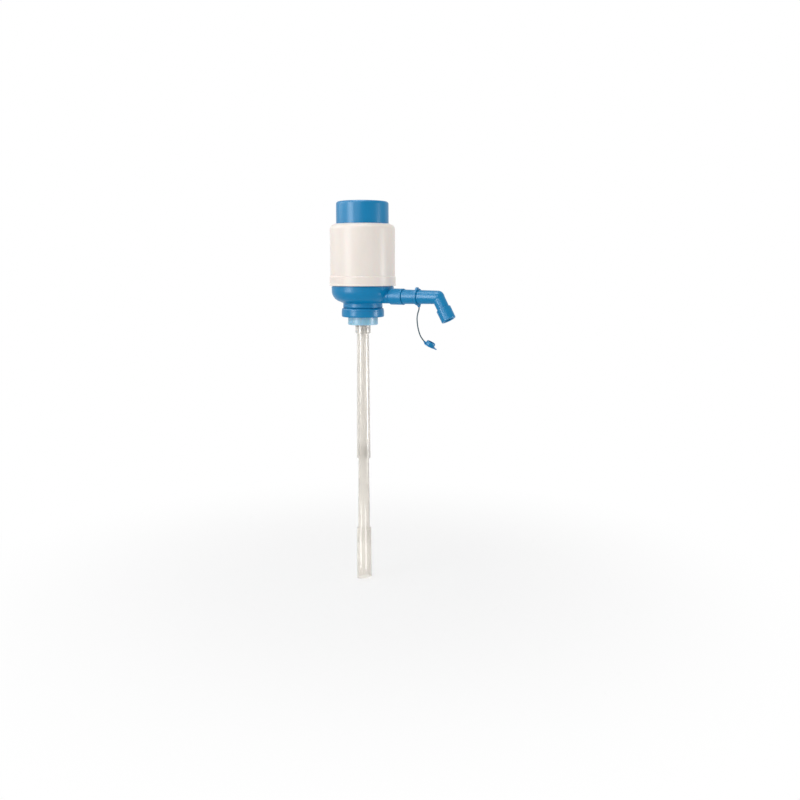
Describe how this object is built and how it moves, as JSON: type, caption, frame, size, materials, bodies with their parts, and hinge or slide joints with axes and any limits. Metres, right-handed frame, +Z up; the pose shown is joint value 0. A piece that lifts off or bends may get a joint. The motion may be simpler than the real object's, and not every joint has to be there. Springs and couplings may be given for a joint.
{
  "type": "water jug hand pump",
  "caption": "Bellows hand pump for a large drinking-water bottle: press button, white housing, swivel spout with tethered plug and a dip tube.",
  "frame": {"origin": "where the pump's vertical axis meets the rim of the bottle's mouth, on the underside of the seal's flange", "axes": "+Z up along the pump's axis towards the press button, +X along the spout"},
  "size_m": [0.162, 0.079, 0.4595],
  "materials": {
    "blue_plastic": "glossy injection-moulded polypropylene",
    "white_plastic": "glossy injection-moulded polypropylene",
    "pale_blue_plastic": "soft pale blue polyethylene",
    "clear_tube": "milky polyethylene tube",
    "soft_strap": "satin soft polyethylene",
    "bellows_plastic": "satin blow-moulded polyethylene",
    "spring_steel": "drawn stainless wire",
    "dark_rubber": "satin",
    "valve_rubber": "satin silicone"
  },
  "bodies": {
    "pump": {"base_body": "blue_plastic", "seal_carrier": "blue_plastic", "water_elbow": "blue_plastic", "housing": "white_plastic", "bottle_seal": "pale_blue_plastic", "tube_connector": "clear_tube", "dip_tube_upper": "clear_tube", "dip_tube_middle": "clear_tube", "dip_tube_lower": "clear_tube", "valve_plate": "white_plastic", "base_gasket": "dark_rubber", "bellows_clamp_ring": "white_plastic", "bellows": "bellows_plastic", "return_spring": "spring_steel", "delivery_valve_cage": "white_plastic"},
    "button": {"press_button": "blue_plastic", "intake_valve_cage": "white_plastic"},
    "collar": {"screw_collar": "blue_plastic"},
    "spout": {"spout_tube": "blue_plastic", "nozzle_sleeve": "blue_plastic", "spout_o_ring": "dark_rubber"},
    "tether": {"tether_ring": "blue_plastic", "tether_strap": "soft_strap", "nozzle_plug": "blue_plastic"},
    "delivery_valve": {"delivery_valve_disc": "valve_rubber"},
    "intake_valve": {"intake_valve_disc": "valve_rubber"}
  },
  "joints": [
    {"name": "button_press", "type": "slide", "parent": "pump", "child": "button", "axis": [0, 0, -1], "range_m": [0, 0.024], "stiffness_N_per_m": 500, "springref_m": -0.018, "deforming": ["bellows", "return_spring"]},
    {"name": "collar_turn", "type": "hinge", "parent": "pump", "child": "collar", "pos_m": [0, 0, 0], "axis": [0, 0, 1], "continuous": true},
    {"name": "spout_swivel", "type": "hinge", "parent": "pump", "child": "spout", "pos_m": [0.048, 0, 0.0182], "axis": [1, 0, 0], "continuous": true},
    {"name": "tether_swing", "type": "hinge", "parent": "pump", "child": "tether", "pos_m": [0.075, 0, 0.0182], "axis": [1, 0, 0], "range_deg": [-90, 90]},
    {"name": "delivery_valve_lift", "type": "slide", "parent": "pump", "child": "delivery_valve", "axis": [0, 0, 1], "range_m": [0, 0.0012]},
    {"name": "intake_valve_lift", "type": "slide", "parent": "button", "child": "intake_valve", "axis": [0, 0, 1], "range_m": [0, 0.0012]}
  ]
}
